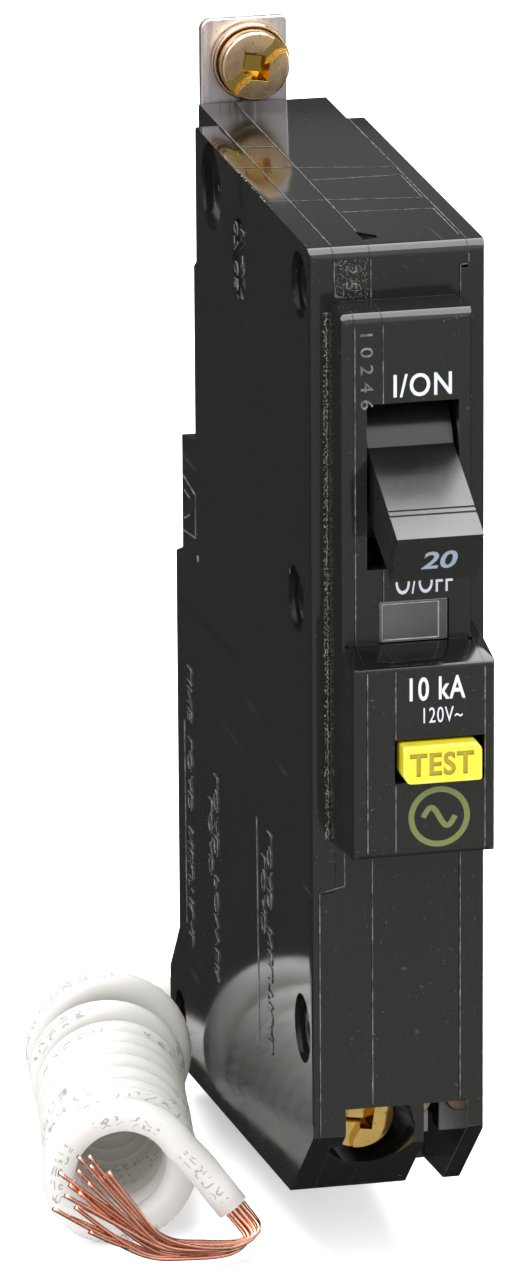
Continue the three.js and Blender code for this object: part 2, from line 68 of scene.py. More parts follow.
COVER_BACK, CORE_BACK = 56.2, 66.4      # rear edges of the covers and of the inner layers
BELLY = 68.2                            # rear edge of all layers in the lower half
WALL, SKIN = 1.6, 1.25
CHAMFER = (10.5, 11.3, 0.45)            # start z, end y, end z of the chamfer at the load end
NOSE_Y, PANEL_Y = -5.5, -10.9
NOSE_TOP, LEDGE_Z, PANEL_LOW = 103.7, 66.6, 45.4
NOSE_LEFT, NOSE_RIGHT, PANEL_RIGHT = -7.55, 6.7, 7.9
NOSE_FOOT, NOSE_WALL = (1.2, 44.1), 1.3
BUTTON_SLOT_Z = (53.65, 58.5)
SEAM_LEFT, SEAM_NOSE, SEAM_LOW, SEAM_CORE, SEAM_RIGHT, SEAM_FRONT = -6.95, -6.05, -8.8, -3.0, 7.6, 6.7
LOW_SEAM_Z = 38.4
CRACK = 0.03                            # half the gap that shows at a seam
PIVOT, DRUM_R, HANDLE_X = (4.5, 85.5), 9.3, (-4.3, 5.0)
SLOT_X, SLOT_Z = (-4.7, 5.3), (75.8, 93.9)
WINDOW_X, WINDOW_Z = (-3.4, 4.2), (67.5, 72.2)
BORE = (-2.6, 10.0, 5.0)
RETURN_SCREW = (5.35, 9.0)
LINE_SCREW = (-1.1, 114.2)
GROMMET = (-5.9, 0.4)
ACCESS = (7.1, 69.4)                    # the D-shaped recess of the calibration screw, (y, z)
RIVETS = [(4.9, 104.6, 3.6), (48.2, 104.6, 4.9), (*ACCESS, 3.6), (4.9, 21.5, 3.8), (67.9, 1.3, 3.0)]
BOSSES = [(4.9, 104.6, 3.4), (48.2, 104.6, 3.4), (4.9, 21.5, 3.4), (67.9, 1.3, 4.2)]
LEVER_TOP, LEVER_TIP = (-17.5, 82.55), (-14.8, 77.15)       # ends of the lever's sloping front face, (y, z)
BUTTON_FRONT = PANEL_Y - 1.6
TAB_X, TAB_Y, TAB_FOOT = (-6.5, 3.3), (66.7, 68.0), 93.4    # the flat line tab
FLOOR_Z = -9.9                          # what the coil lies on

# ---- Camera ------------------------------------------------------------------
AZIMUTH, ELEVATION, ROLL = math.radians(-12.548), math.radians(17.099), math.radians(-0.365)
DISTANCE, LENS = 991.208, 255.92
TARGET = Vector((-10.11, 25, 59.42))


def add_camera():
    back = Vector((math.sin(AZIMUTH) * math.cos(ELEVATION), -math.cos(AZIMUTH) * math.cos(ELEVATION),
                   math.sin(ELEVATION)))
    level = (-back).cross(Vector((0, 0, 1))).normalized()
    upright = level.cross(-back)
    right = level * math.cos(ROLL) + upright * math.sin(ROLL)
    up = upright * math.cos(ROLL) - level * math.sin(ROLL)
    data = bpy.data.cameras.new("camera")
    data.lens, data.sensor_width = LENS, 36
    data.clip_start, data.clip_end = 0.01, 100
    camera = bpy.data.objects.new("camera", data)
    camera.matrix_world = Matrix.Translation(TO_FRAME @ (TARGET + back * DISTANCE)) @ Matrix(
        (right, up, back)).transposed().to_4x4()
    scene.collection.objects.link(camera)
    scene.camera = camera


add_camera()
scene.view_settings.view_transform = "Standard"


# ---- Shader helpers ----------------------------------------------------------
def feed(tree, socket, value):
    """Links an input to another socket, or sets it to a constant."""
    if isinstance(value, bpy.types.NodeSocket):
        tree.links.new(value, socket)
    else:
        socket.default_value = value


def add_node(tree, kind, inputs, **settings):
    node = tree.nodes.new("ShaderNode" + kind)
    for key, value in settings.items():
        setattr(node, key, value)
    for key, value in inputs.items():
        feed(tree, node.inputs[key], value)
    return node


class Look:
    """A Principled material and short ways of adding nodes to it."""

    def __init__(self, name, color=(0.5, 0.5, 0.5), **values):
        self.mat = bpy.data.materials.new(name)
        self.mat.use_nodes = True
        self.tree = self.mat.node_tree
        self.bsdf = self.tree.nodes["Principled BSDF"]
        self.place = self.node("TexCoord", {}).outputs["Object"]
        self.set("Base Color", (*color, 1))
        for key, value in values.items():
            self.set(key.replace("_", " ").title().replace("Ior", "IOR"), value)

    def set(self, socket, value):
        feed(self.tree, self.bsdf.inputs[socket], value)
        return self

    def node(self, kind, inputs, **settings):
        return add_node(self.tree, kind, inputs, **settings)

    def stretched(self, scale, vector=None):
        return self.node("Mapping", {"Vector": vector or self.place, "Scale": scale}).outputs[0]

    def noise(self, scale, detail=3, rough=0.5, vector=None):
        return self.node("TexNoise", {"Vector": vector or self.place, "Scale": scale, "Detail": detail,
                                      "Roughness": rough}).outputs["Fac"]

    def ramp(self, fac, low, high, start=0.0, end=1.0):
        return self.node("MapRange", {"Value": fac, "From Min": low, "From Max": high, "To Min": start,
                                      "To Max": end}).outputs[0]

    def blend(self, fac, a, b):
        node = self.node("Mix", {"Factor": fac}, data_type="RGBA")
        for socket, value in ((node.inputs[6], a), (node.inputs[7], b)):
            feed(self.tree, socket, value if isinstance(value, bpy.types.NodeSocket) else (*value, 1))
        return node.outputs[2]

    def math(self, operation, a, b):
        return self.node("Math", {0: a, 1: b}, operation=operation).outputs[0]

    def bump(self, height, distance, strength=1.0, under=None):
        inputs = {"Height": height, "Distance": distance, "Strength": strength}
        if under is not None:
            inputs["Normal"] = under
        out = self.node("Bump", inputs).outputs[0]
        self.set("Normal", out)
        return out


def moulded(name, dark, pale, roughness, specks=0.74):
    """Glossy moulded plastic: slow sink marks, hazy patches, fine hairlines and a few pale specks."""
    look = Look(name, dark, roughness=roughness)
    haze = look.noise(90, 4, 0.6)
    grain = look.noise(2600, 2, 0.6)
    dust = look.ramp(look.noise(3300, 1, 0.4), specks - 0.02, specks + 0.06, 0, 0.7)
    patch = look.ramp(look.noise(240, 3), 0.35, 0.7)
    speck = look.math("MULTIPLY", dust, patch)
    hair = look.noise(700, 2, 0.5, look.stretched((1, 0.06, 1)))
    hairline = look.ramp(hair, 0.71, 0.76, 0, 0.2)
    color = look.blend(look.math("MAXIMUM", speck, hairline), dark, pale)
    look.set("Base Color", color)
    wide = look.ramp(haze, 0.3, 0.75, roughness * 0.7, roughness * 1.7)
    look.set("Roughness", look.math("ADD", wide, look.math("MULTIPLY", speck, 0.3)))
    sink = look.bump(look.noise(28, 1), 0.00012, 0.5)
    look.bump(grain, 0.000003, 0.18, sink)
    return look


def edge_wear_and_highlight(name, dark, pale, low=0.45, high=0.62):
    """The sharp corner of moulded plastic, pale in broken stretches: rubbed wear, and where it rounds the
    case, the lens and raised relief also a painted highlight.
    """
    look = Look(name, dark, roughness=0.42)
    # the pale mask: rubbed wear, and on the case and lens edges a painted highlight
    rub = look.ramp(look.noise(900, 4, 0.7), low, high)
    chip = look.ramp(look.noise(5200, 2), 0.4, 0.6, 0.35, 1)
    look.set("Base Color", look.blend(look.math("MULTIPLY", rub, chip), dark, pale))
    look.bump(look.noise(3000, 3), 0.00003, 0.6)
    return look


def plated(name, color, tint, roughness, streak=(1, 1, 1)):
    """Plated or bare metal with drawn streaks, a drifting tint and small scratches."""
    look = Look(name, color, metallic=1.0, roughness=roughness)
    drift = look.ramp(look.noise(160, 3), 0.35, 0.7)
    lines = look.noise(1400, 4, 0.65, look.stretched(streak))
    pits = look.ramp(look.noise(2400, 2), 0.62, 0.7, 0, 0.5)
    base = look.blend(drift, color, tint)
    look.set("Base Color", look.blend(pits, base, tuple(c * 0.45 for c in color)))
    look.set("Roughness", look.ramp(lines, 0.3, 0.7, roughness * 0.7, roughness * 1.6))
    look.bump(lines, 0.00001, 0.5)
    return look


BLACK, SCUFF = (0.006, 0.0062, 0.0054), (0.085, 0.085, 0.078)
case_black = moulded("moulded_black", BLACK, SCUFF, 0.085)
# the case's small rounds are painted pale: rubbed wear, and a painted highlight along the edges and round the
# rivet pockets
case_edge_wear_and_highlight = edge_wear_and_highlight("black_edge_wear_and_highlight", (0.03, 0.03, 0.028), (0.2, 0.2, 0.185), 0.38, 0.6)
burr = edge_wear_and_highlight("seam_burr", (0.02, 0.02, 0.018), (0.17, 0.17, 0.158), 0.4, 0.62)
handle_black = moulded("handle_black", (0.007, 0.007, 0.006), (0.07, 0.07, 0.07), 0.2, 0.76)
handle_black.set("Specular IOR Level", 0.85)
handle_edge = edge_wear_and_highlight("handle_edge", (0.012, 0.012, 0.012), (0.05, 0.05, 0.05), 0.5, 0.7)
yellow = moulded("button_yellow", (0.50, 0.43, 0.013), (0.56, 0.5, 0.1), 0.3, 0.8)
yellow_edge = edge_wear_and_highlight("button_edge", (0.52, 0.44, 0.018), (0.6, 0.54, 0.15))
yellow_letter_shade = moulded("button_letter_painted_shade", (0.29, 0.22, 0.004), (0.34, 0.27, 0.01), 0.35, 0.8)
brass = plated("yellow_brass", (0.72, 0.50, 0.24), (0.80, 0.58, 0.44), 0.2)
# a darker, deeper copy of the brass: painted shade for recesses and slots
brass_recess_shade = plated("yellow_brass_painted_shade", (0.70, 0.45, 0.10), (0.82, 0.60, 0.24), 0.09)
# the rivet metal is coloured almost black: painted shade for their deep pockets
rivet_shade_dark = plated("rivet_painted_shade_dark", (0.05, 0.044, 0.04), (0.09, 0.075, 0.06), 0.3)
tin = plated("tin_plate", (0.80, 0.745, 0.735), (0.70, 0.66, 0.665), 0.34, (1, 1, 0.08))
steel = plated("zinc_steel", (0.50, 0.51, 0.53), (0.62, 0.60, 0.56), 0.3, (0.1, 1, 1))
copper = plated("bare_copper", (0.87, 0.40, 0.27), (0.94, 0.56, 0.42), 0.2)
silver = plated("contact_silver", (0.78, 0.77, 0.74), (0.66, 0.64, 0.6), 0.35)
card = moulded("fibre_card", (0.5, 0.42, 0.28), (0.62, 0.55, 0.4), 0.6)
board = moulded("solder_mask", (0.02, 0.10, 0.04), (0.1, 0.25, 0.12), 0.25)
coat = moulded("epoxy_coat", (0.03, 0.08, 0.24), (0.1, 0.16, 0.3), 0.35)
rubber = moulded("rubber_black", (0.015, 0.015, 0.015), (0.06, 0.06, 0.06), 0.55)
red = moulded("flag_red", (0.4, 0.04, 0.02), (0.5, 0.1, 0.06), 0.4)


def paint(name, color, under):
    """Pad-printed ink, a little broken where the plastic shows through."""
    look = Look(name, color, roughness=0.42)
    thin = look.ramp(look.noise(2200, 3, 0.7), 0.62, 0.8, 0, 0.5)
    look.set("Base Color", look.blend(thin, color, under))
    look.bump(look.noise(4000, 2), 0.000006, 0.5)
    return look


white_ink = paint("white_ink", (0.44, 0.46, 0.51), (0.22, 0.22, 0.24))
grey_ink = paint("grey_ink", (0.15, 0.18, 0.23), (0.08, 0.09, 0.11))
olive_ink = paint("olive_ink", (0.10, 0.12, 0.027), (0.04, 0.05, 0.012))


def lens_look():
    look = Look("smoked_lens", (0.06, 0.06, 0.062), roughness=0.14)
    haze = look.ramp(look.noise(160, 2), 0.3, 0.7)
    look.set("Base Color", look.blend(haze, (0.05, 0.05, 0.052), (0.075, 0.075, 0.078)))
    look.bump(look.noise(900, 2), 0.000008, 0.4)
    return look


def vinyl_look():
    """White wire insulation with a faint grey print along its outer side, and a faint painted glow that
    lightens the shade inside the coil.
    """
    look = Look("white_vinyl", (0.47, 0.46, 0.45), roughness=0.4)
    look.set("Emission Color", (1, 0.94, 0.8, 1)).set("Emission Strength", 0.06)   # painted glow that lightens the shaded inside of the coil
    look.set("Subsurface Weight", 0.6).set("Subsurface Scale", 1)
    look.set("Subsurface Radius", (0.0022, 0.002, 0.0016))
    uv = look.node("TexCoord", {}).outputs["UV"]
    parts = look.node("SeparateXYZ", {0: uv})
    along, around = parts.outputs[0], parts.outputs[1]
    turn = look.math("FRACT", look.math("MULTIPLY", around, 2), 0)
    band = look.math("MULTIPLY", look.math("GREATER_THAN", turn, 0.34), look.math("LESS_THAN", turn, 0.6))
    cell = look.stretched((0.8, 14, 1), uv)
    stroke = look.node("Math", {0: look.math("SUBTRACT", look.noise(1.2, 0, 0.5, cell), 0.5)},
                       operation="ABSOLUTE").outputs[0]
    glyph = look.math("LESS_THAN", stroke, 0.055)
    words = look.math("GREATER_THAN", look.noise(0.09, 0, 0.5, look.stretched((1, 0, 0), uv)), 0.46)
    gap = look.math("GREATER_THAN", look.math("FRACT", look.math("MULTIPLY", along, 0.62), 0), 0.34)
    mark = look.math("MULTIPLY", look.math("MULTIPLY", band, glyph), look.math("MULTIPLY", words, gap))
    dirt = look.ramp(look.noise(180, 4), 0.45, 0.8, 0, 0.35)
    base = look.blend(dirt, (0.47, 0.462, 0.455), (0.42, 0.405, 0.38))
    look.set("Base Color", look.blend(look.math("MULTIPLY", mark, 0.75), base, (0.15, 0.155, 0.17)))
    look.bump(look.noise(500, 3), 0.00002, 0.4)
    return look


lens_grey, vinyl = lens_look(), vinyl_look()


# ---- Mesh helpers, millimetres in the case frame -----------------------------
def solid(bm, *looks):
    bmesh.ops.recalc_face_normals(bm, faces=bm.faces)
    mesh = bpy.data.meshes.new("solid")
    bm.to_mesh(mesh)
    bm.free()
    for look in looks:
        mesh.materials.append(look.mat)
    obj = bpy.data.objects.new("solid", mesh)
    scene.collection.objects.link(obj)
    return obj


def prism(points, axis, low, high, *looks):
    """A closed outline of the two other coordinates, pushed from low to high along an axis."""
    at = "xyz".index(axis)
    bm = bmesh.new()
    rings = [[bm.verts.new((*p[:at], h, *p[at:])) for p in points] for h in (low, high)]
    count = len(points)
    for i in range(count):
        j = (i + 1) % count
        bm.faces.new((rings[0][i], rings[0][j], rings[1][j], rings[1][i]))
    for ring in rings:
        bm.faces.new(ring)
    return solid(bm, *looks)


def block(x, y, z, *looks):
    return prism([(x[0], y[0]), (x[1], y[0]), (x[1], y[1]), (x[0], y[1])], "z", z[0], z[1], *looks)


def arc(centre, r, start, end, steps):
    """Points on a circle, in degrees, both ends included."""
    turns = [math.radians(start + (end - start) * i / steps) for i in range(steps + 1)]
    return [(centre[0] + r * math.cos(a), centre[1] + r * math.sin(a)) for a in turns]


def rod(axis, centre, r, low, high, sides=48, *looks):
    return prism(arc(centre, r, 0, 360 - 360 / sides, sides - 1), axis, low, high, *looks)


def turned(axis, centre, profile, sides=64, *looks):
    """A solid of revolution. The profile is (radius, height) points from the axis back to the axis."""
    at = "xyz".index(axis)
    bm = bmesh.new()
    rings = []
    for r, h in profile:
        flat = [centre] if r < 1e-6 else arc(centre, r, 0, 360 - 360 / sides, sides - 1)
        rings.append([bm.verts.new((*p[:at], h, *p[at:])) for p in flat])
    for a, b in zip(rings, rings[1:]):
        for i in range(sides):
            j = (i + 1) % sides
            corners = [a[i % len(a)], a[j % len(a)], b[j % len(b)], b[i % len(b)]]
            bm.faces.new(list(dict.fromkeys(corners)))
    return solid(bm, *looks)


def baked(obj):
    """Gives obj its mesh as its modifiers leave it, and drops them."""
    depsgraph = bpy.context.evaluated_depsgraph_get()
    mesh = bpy.data.meshes.new_from_object(obj.evaluated_get(depsgraph))
    obj.modifiers.clear()
    obj.data = mesh
    return obj


def combine(obj, operation, others, transfer=False):
    for other in others:
        mod = obj.modifiers.new("combine", "BOOLEAN")
        mod.object, mod.operation, mod.solver = other, operation, "EXACT"
        if transfer:
            mod.material_mode = "TRANSFER"
    baked(obj)
    for other in others:
        bpy.data.objects.remove(other)
    bm = bmesh.new()
    bm.from_mesh(obj.data)
    bmesh.ops.remove_doubles(bm, verts=bm.verts, dist=1e-4)
    bmesh.ops.dissolve_limit(bm, angle_limit=math.radians(0.4), verts=bm.verts, edges=bm.edges,
                             delimit={"MATERIAL"})
    bm.to_mesh(obj.data)
    bm.free()
    return obj


def cut(obj, *others, transfer=False):
    return combine(obj, "DIFFERENCE", others, transfer)


def fuse(obj, *others):
    return combine(obj, "UNION", others)


def keep(obj, *others):
    return combine(obj, "INTERSECT", others)


def soften(obj, width, segments=2, edge_look=None, angle=28):
    """Rounds every corner sharper than angle, and gives the round its own look."""
    if edge_look:
        obj.data.materials.append(edge_look.mat)
    obj.data.shade_smooth()
    mod = obj.modifiers.new("soften", "BEVEL")
    mod.width, mod.segments, mod.limit_method = width, segments, "ANGLE"
    mod.angle_limit = math.radians(angle)
    mod.harden_normals = True
    if edge_look:
        mod.material = len(obj.data.materials) - 1
    return baked(obj)


def settle(obj, name, body, replaces=()):
    """Moves a finished piece from the case frame into the CAD frame, and says what it rides on."""
    obj.name = obj.data.name = name
    obj.data.transform(TO_FRAME)
    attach(obj, body)
    if replaces:
        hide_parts(*replaces)
    return obj


def tube(points, radius, sides, look, taper=None):
    """A round wire with its rings on the points; uv is millimetres along and share of a turn around."""
    bm = bmesh.new()
    uv_layer = bm.loops.layers.uv.new("UVMap")
    side = Vector((0, 0, 1))
    rings, lengths, run = [], [], 0.0
    for i, p in enumerate(points):
        ahead = (points[min(i + 1, len(points) - 1)] - points[max(i - 1, 0)]).normalized()
        side = (side - ahead * side.dot(ahead)).normalized()
        other = ahead.cross(side)
        run += (p - points[i - 1]).length if i else 0
        lengths.append(run)
        r = radius * (taper(i / (len(points) - 1)) if taper else 1)
        turns = [2 * math.pi * k / sides for k in range(sides)]
        rings.append([bm.verts.new(p + (side * math.cos(a) + other * math.sin(a)) * r) for a in turns])
    for i in range(len(points) - 1):
        for k in range(sides):
            corners = [(i, k), (i, k + 1), (i + 1, k + 1), (i + 1, k)]
            face = bm.faces.new([rings[a][b % sides] for a, b in corners])
            face.smooth = True
            for loop, (a, b) in zip(face.loops, corners):
                loop[uv_layer].uv = (lengths[a], b / sides)
    bm.faces.new(rings[0])
    bm.faces.new(rings[-1])
    return solid(bm, look)


def smooth_line(points, steps):
    """A Catmull-Rom curve through the points, with steps pieces between neighbours."""
    ends = [points[0] * 2 - points[1], *points, points[-1] * 2 - points[-2]]
    line = []
    for a, b, c, d in zip(ends, ends[1:], ends[2:], ends[3:]):
        for i in range(steps):
            t = i / steps
            line.append(0.5 * ((2 * b) + (c - a) * t + (2 * a - 5 * b + 4 * c - d) * t * t
                               + (3 * b - a - 3 * c + d) * t ** 3))
    return line + [points[-1]]


def join_meshes(objs):
    """One object that holds all of these, with their materials and uv."""
    bm = bmesh.new()
    looks = []
    for obj in objs:
        shift = {}
        for i, mat in enumerate(obj.data.materials):
            if mat not in looks:
                looks.append(mat)
            shift[i] = looks.index(mat)
        for polygon in obj.data.polygons:
            polygon.material_index = shift.get(polygon.material_index, 0)
        bm.from_mesh(obj.data)
    mesh = bpy.data.meshes.new("joined")
    bm.to_mesh(mesh)
    bm.free()
    for mat in looks:
        mesh.materials.append(mat)
    joined = bpy.data.objects.new("joined", mesh)
    scene.collection.objects.link(joined)
    for obj in objs:
        bpy.data.objects.remove(obj)
    return joined


# ---- Neutral lead: out of the back, wound into a coil, its bared strands fanned out in front 
WIRE = 3.7
TURNS, LOOSE = 9.6, 2.1                  # all turns, and the looser ones at the back


def lead_route():
    x, z = GROMMET
    out = [Vector(p) for p in [(x, 74.2, z), (x, 79.0, z), (-7.4, 83.6, -1.7), (-10.6, 86.0, -5.2),
                               (-14.6, 84.0, -7.5), (-16.4, 78.0, -7.95), (-16.2, 71.0, -7.95)]]
    coil = []
    steps = 40
    for i in range(int(TURNS * steps), -1, -1):
        t = i / steps                                   # turns from the front
        loose = max(0.0, t - (TURNS - LOOSE)) / LOOSE
        r = 6.75 + 0.95 * min(1.0, loose * 1.8) ** 1.5 + 0.6 * max(0.0, 1.6 - t) / 1.6
        r += 0.05 * math.sin(5.1 * t) + 0.04 * math.sin(13.7 * t)
        y = 24.4 + 3.8 * t + 2.2 * max(0.0, loose - 0.3)
        front = max(0.0, 0.75 - t) / 0.75               # the last stretch leaves the coil forwards
        y -= 3.4 * front ** 1.4
        x = -25.7 + (y - 23.6) * 0.16 + 0.25 * math.sin(2.3 * t) * loose
        angle = math.radians(32 + 360 * t)
        centre_z = FLOOR_Z + r + WIRE / 2 + 1.0 * loose
        coil.append(Vector((x + r * math.cos(angle), y, centre_z + r * math.sin(angle))))
    tail = [Vector(p) for p in [(-17.4, 20.9, 0.3), (-15.6, 20.1, -2.2), (-14.2, 19.5, -4.1)]]
    return smooth_line(out + [coil[0] + (coil[0] - coil[4]).normalized() * 2.5], 4)[:-1] + smooth_line(
        coil + tail, 1)


route = lead_route()
lead = tube(route, WIRE / 2, 20, vinyl)


def strand_fan():
    """Bare strands: packed where the insulation ends, then bent back and spread over the coil's mouth."""
    root = Vector((-14.1, 19.4, -4.0))
    ahead = Vector((1.5, -0.6, -1.8)).normalized()
    side = ahead.cross(Vector((0, 1, 0))).normalized()
    other = ahead.cross(side)
    packing = [(0, 0)] + [(1, 60 * k) for k in range(6)] + [(2, 30 * k + 10) for k in range(12)]
    order = random.sample(range(len(packing)), len(packing))
    pieces = []
    for number, (shell, degrees) in zip(order, packing):
        share = number / (len(packing) - 1)             # 0 is the highest strand of the fan, 1 the lowest
        a = math.radians(degrees)
        off = (side * math.cos(a) + other * math.sin(a)) * 0.55 * shell
        spread = Vector((0.5, -0.3, 1)) * (1.7 * (0.5 - share))
        turn = math.radians(random.gauss(134 + 27 * share, 2.5))
        reach = random.uniform(14.5, 19.6) - 2.5 * abs(share - 0.4)
        end = Vector((-19.0 + reach * math.cos(turn), random.uniform(13.2, 15.4),
                      -7.2 + reach * math.sin(turn)))
        knots = [root - ahead * 1.5 + off, root + ahead * 0.8 + off]
        for place, loose in (((-12.3, 17.9, -6.7), 0.15), ((-14.5, 16.7, -7.7), 0.35),
                             ((-19.0, 15.8, -7.4), 0.8), ((-23.5, 15.3, -6.2), 1.3)):
            shake = Vector([random.uniform(-0.3, 0.3) for _ in range(3)]) * loose
            knots.append(Vector(place) + off * (1 - 0.3 * loose) + spread * loose + shake)
        knots.append(knots[-1].lerp(end, 0.5) + Vector((0, -0.3, random.uniform(-0.5, 0.1))))
        pieces.append(tube(smooth_line(knots + [end], 7), 0.245, 8, copper))
    return join_meshes(pieces)


strands = settle(strand_fan(), "bare_strands", "case", ["copper_strands"])
collar = turned("y", GROMMET, [(0, 73.75), (2.9, 73.75), (2.9, 75.0), (2.55, 77.5), (0, 77.5)], 48, rubber)
grommet = soften(cut(collar, rod("y", GROMMET, 1.95, 70, 80)), 0.15, 2)
settle(grommet, "lead_grommet", "case", ["pigtail_grommet"])
settle(lead, "neutral_lead", "case", ["pigtail_lead", "pigtail_coil", "pigtail_tail"])


# ---- Case layers -------------------------------------------------------------
def floor_z(y):
    return CHAMFER[2] + (FOOT[1] - CHAMFER[2]) * (y - CHAMFER[1]) / (FOOT[0] - CHAMFER[1])


def outline(back):
    """Side outline of a layer as (y, z), up to its rear edge at the top."""
    stepped = [(64.6, 58.6), (64.6, 71.8), (57.5, 73), (57.5, 93.2), (COVER_BACK, 94)]
    rear = [(CORE_BACK, 58.6)] if back == CORE_BACK else stepped
    return [(0, CHAMFER[0]), (CHAMFER[1], CHAMFER[2]), FOOT, (FOOT[0], 5.5), (BELLY, 12), (BELLY, 57.2),
            *rear, *arc((back - 0.6, TOP - 0.6), 0.6, 0, 90, 3), *arc((1.35, TOP - 1.35), 1.35, 90, 180, 8)]


def slab(back, low, high, *looks):
    return prism(outline(back), "x", low, high, *looks)


PANEL_CORNERS = [*arc((PANEL_Y + 0.5, PANEL_LOW + 0.58), 0.5, -100, -180, 4),
                 *arc((PANEL_Y + 0.45, LEDGE_Z - 0.45), 0.45, 180, 105, 4)]


def corner_tool(corner, inward, r, low, high, axis="z"):
    """What rounds a straight outer edge off: the bit between the edge and a quarter circle."""
    (x, y), (sx, sy) = corner, inward
    quarter = [(x + sx * r * (1 - math.sin(a)), y + sy * r * (1 - math.cos(a))) for a in
               [math.radians(11.25 * k) for k in range(9)]]
    outside = [(x - sx * 0.5, y + sy * r), (x - sx * 0.5, y - sy * 0.5), (x + sx * r, y - sy * 0.5)]
    return prism([*outside, *quarter], axis, low, high)


def nose_outline():
    brow = arc((NOSE_Y + 1.25, NOSE_TOP - 1.25), 1.25, 180, 90, 8)
    return [NOSE_FOOT, *PANEL_CORNERS, (NOSE_Y, LEDGE_Z + 1), *brow, (1.2, NOSE_TOP + 0.1)]


NOSE_HOLLOW = [(2, 45.8), (PANEL_Y + NOSE_WALL, 46.8), (PANEL_Y + NOSE_WALL, LEDGE_Z - 1.4),
               (NOSE_Y + NOSE_WALL, LEDGE_Z - 0.4), (NOSE_Y + NOSE_WALL, NOSE_TOP - 2.0),
               (NOSE_Y + 1.9, NOSE_TOP - 1.4), (2, NOSE_TOP - 1.4)]
MECHANISM_ROOM = [(WALL, 50), (CORE_BACK - WALL, 50), (CORE_BACK - WALL, TOP - WALL), (WALL, TOP - WALL)]
LOWER_ROOM = [(WALL, 17.5), (22, 17.5), (22, floor_z(22) + WALL), (FOOT[0] - WALL, floor_z(FOOT[0]) + 2.2),
              (FOOT[0] - WALL, 5), (BELLY - WALL, 11.6), (BELLY - WALL, 48.4), (WALL, 48.4)]
COVER_ROOM = [(WALL, 13), (12.5, 3.2), (FOOT[0] - WALL, floor_z(FOOT[0]) + 2.2), (FOOT[0] - WALL, 5),
              (BELLY - WALL, 11.6), (BELLY - WALL, 56.4), (63, 57.5), (63, 70.6), (55.9, 71.6),
              (55.9, 92), (54.6, 92.6), (54.6, TOP - WALL), (WALL, TOP - WALL)]


def front_cuts():
    """What the front of both inner layers is cut by: handle slot, window, load terminals."""
    return [block(SLOT_X, (-8, WALL + 0.4), SLOT_Z), block(WINDOW_X, (-8, NOSE_Y + 2), WINDOW_Z),
            block((-5.9, 7.1), (-1, 2.6), (6, 13.5)), rod("y", BORE[:2], BORE[2], 2.3, 12.5, 64),
            block((-7.0, 1.9), (12.2, 19.2), (5.2, 15.0)), block((-1.9, 1.9), (18.5, 23), (8.8, 12.2))]


def rivet_holes(low, high):
    return [rod("x", (y, z), 1.4, low, high, 20) for y, z, _ in RIVETS]


def bosses(places, low, high):
    """The posts that the rivets pass through, kept inside the outline of the inner layers."""
    return [keep(rod("x", (y, z), r, low, high, 32), slab(CORE_BACK, low, high)) for y, z, r in places]


def groove(a, b, width, depth, face, at, *looks):
    """A thin square bar along a straight line on a face, to cut a groove or stand as a ridge."""
    run = (Vector(b) - Vector(a)).normalized() * (width / 2)
    side = Vector((-run.y, run.x))
    a, b = Vector(a) - run, Vector(b) + run
    return prism([a + side, b + side, b - side, a - side], face, at - depth, at + depth, *looks)


def left_cover():
    outer, inner = SEAM_LEFT - CRACK, -HALF + SKIN
    body = cut(slab(COVER_BACK, -HALF, outer, case_black), prism(COVER_ROOM, "x", inner, 0))
    nose = cut(prism(nose_outline(), "x", NOSE_LEFT, SEAM_NOSE - CRACK),
               corner_tool((NOSE_LEFT, NOSE_Y), (1, 1), 0.75, LEDGE_Z + 0.6, NOSE_TOP + 1),
               corner_tool((NOSE_LEFT, PANEL_Y), (1, 1), 0.6, PANEL_LOW - 1, LEDGE_Z + 1),
               corner_tool((NOSE_LEFT, NOSE_TOP), (1, -1), 0.8, NOSE_Y - 1, 0, "y"))
    body = fuse(cut(body, corner_tool((-HALF, 0), (1, 1), 0.6, 12, TOP + 1)), nose)
    body = fuse(body, *[keep(rod("x", (y, z), pocket + 1.0, -HALF + 0.2, outer, 48),
                             slab(COVER_BACK, -HALF, outer)) for y, z, pocket in RIVETS])
    deep = (-HALF - 1, -HALF + 1.3)
    pockets = [rod("x", (y, z), pocket, *deep, 64) for y, z, pocket in RIVETS if (y, z) != ACCESS]
    dee = [(8.2, 73.0), *arc(ACCESS, 3.6, 40, -230, 24)]
    slot = arc((33.7, 101.2), 3.4, 0, 180, 12) + arc((33.7, 98.6), 3.4, 180, 360, 12)
    mould = [(34.3, 111), (33.6, 106.0), (21.7, 106.1), (21.2, 111)]
    lines = [groove(a, b, 0.16, 0.12, "x", -HALF) for a, b in [
        ((27.2, 90.2), (26.5, 58.6)), ((26.5, 58.6), (17.0, 50.8)), ((27.2, 90.2), (17.6, 81.8)),
        ((66.9, 52.1), (36.8, 53.8)), ((52.4, 92.8), (52.4, 84.0)), ((57.2, 72.6), (49.8, 64.0))]]
    body = cut(body, *pockets, prism(dee, "x", *deep), prism(slot, "x", -HALF - 1, -HALF + 0.3),
               prism(mould, "x", -HALF - 1, -HALF + 0.22), *lines,
               block((SEAM_LOW - CRACK, 0), (-1, WALL + 0.1), (-2, LOW_SEAM_Z)), *rivet_holes(-12, 0))
    return soften(body, 0.18, 2, case_edge_wear_and_highlight)


